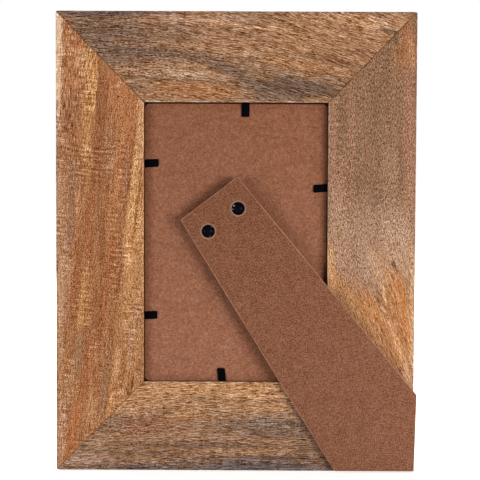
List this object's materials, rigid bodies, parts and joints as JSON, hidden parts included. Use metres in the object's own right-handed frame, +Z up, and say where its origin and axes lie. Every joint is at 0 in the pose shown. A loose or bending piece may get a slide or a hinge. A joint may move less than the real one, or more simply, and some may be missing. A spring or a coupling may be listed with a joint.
{
  "type": "wooden picture frame",
  "caption": "Mitred wide-rail wooden tabletop picture frame with glass, hardboard backing held by flexible points, and a riveted folding easel stand.",
  "frame": {"origin": "middle of the frame's bottom edge, the face it stands on upright, midway through its thickness", "axes": "+Z up the frame, +Y out of the picture side, -Y out of the back with the stand, +X to the right as seen from behind"},
  "size_m": [0.2026, 0.0234, 0.258],
  "materials": {
    "left_stile_wood": "warm honey-brown hardwood with fine upright grain, waxed",
    "right_stile_wood": "greyish-tan hardwood with short pores and honey stripes, waxed",
    "top_rail_wood": "grey-taupe to honey wavy-grained hardwood, waxed",
    "bottom_rail_wood": "honey-tan hardwood with grey-brown streaks, waxed",
    "biscuit_wood": "compressed pale beech",
    "pane_glass": "clear float glass",
    "insert_card": "matt ivory paper card",
    "backing_hardboard": "matt reddish-brown fibreboard",
    "stand_hardboard": "matt reddish-brown fibreboard with speckles",
    "black_steel": "black enamelled spring steel",
    "black_rivet": "glossy black",
    "zinc_steel": "zinc-plated"
  },
  "bodies": {
    "frame": {"left_stile": "left_stile_wood", "right_stile": "right_stile_wood", "top_rail": "top_rail_wood", "bottom_rail": "bottom_rail_wood", "top_left_biscuit": "biscuit_wood", "top_right_biscuit": "biscuit_wood", "bottom_left_biscuit": "biscuit_wood", "bottom_right_biscuit": "biscuit_wood", "glass_pane": "pane_glass", "picture_insert_card": "insert_card", "backing_board": "backing_hardboard", "left_upper_point_tang": "black_steel", "left_lower_point_tang": "black_steel", "right_upper_point_tang": "black_steel", "right_lower_point_tang": "black_steel", "top_point_tang": "black_steel", "bottom_point_tang": "black_steel", "backing_hinge_leaf": "zinc_steel", "hinge_pin": "zinc_steel", "backing_rivet_1": "zinc_steel", "backing_rivet_2": "zinc_steel"},
    "stand": {"easel_stand": "stand_hardboard", "stand_hinge_leaf": "zinc_steel", "stand_rivet_1": "black_rivet", "stand_rivet_2": "black_rivet"},
    "left_upper_point": {"left_upper_point_blade": "black_steel"},
    "left_lower_point": {"left_lower_point_blade": "black_steel"},
    "right_upper_point": {"right_upper_point_blade": "black_steel"},
    "right_lower_point": {"right_lower_point_blade": "black_steel"},
    "top_point": {"top_point_blade": "black_steel"},
    "bottom_point": {"bottom_point_blade": "black_steel"}
  },
  "joints": [
    {"name": "stand_fold", "type": "hinge", "parent": "frame", "child": "stand", "pos_m": [-0.01218, -0.0075, 0.14881], "axis": [-0.7934, 0, -0.6088], "range_deg": [0, 38]},
    {"name": "left_upper_bend", "type": "hinge", "parent": "frame", "child": "left_upper_point", "pos_m": [-0.0512, -0.00575, 0.1731], "axis": [0, 0, -1], "range_deg": [0, 85]},
    {"name": "left_lower_bend", "type": "hinge", "parent": "frame", "child": "left_lower_point", "pos_m": [-0.0512, -0.00575, 0.0876], "axis": [0, 0, -1], "range_deg": [0, 85]},
    {"name": "right_upper_bend", "type": "hinge", "parent": "frame", "child": "right_upper_point", "pos_m": [0.0512, -0.00575, 0.16], "axis": [0, 0, 1], "range_deg": [0, 85]},
    {"name": "right_lower_bend", "type": "hinge", "parent": "frame", "child": "right_lower_point", "pos_m": [0.0512, -0.00575, 0.084], "axis": [0, 0, 1], "range_deg": [0, 20]},
    {"name": "top_bend", "type": "hinge", "parent": "frame", "child": "top_point", "pos_m": [0.0052, -0.00575, 0.2072], "axis": [-1, 0, 0], "range_deg": [0, 85]},
    {"name": "bottom_bend", "type": "hinge", "parent": "frame", "child": "bottom_point", "pos_m": [-0.0072, -0.00575, 0.0508], "axis": [1, 0, 0], "range_deg": [0, 85]}
  ]
}
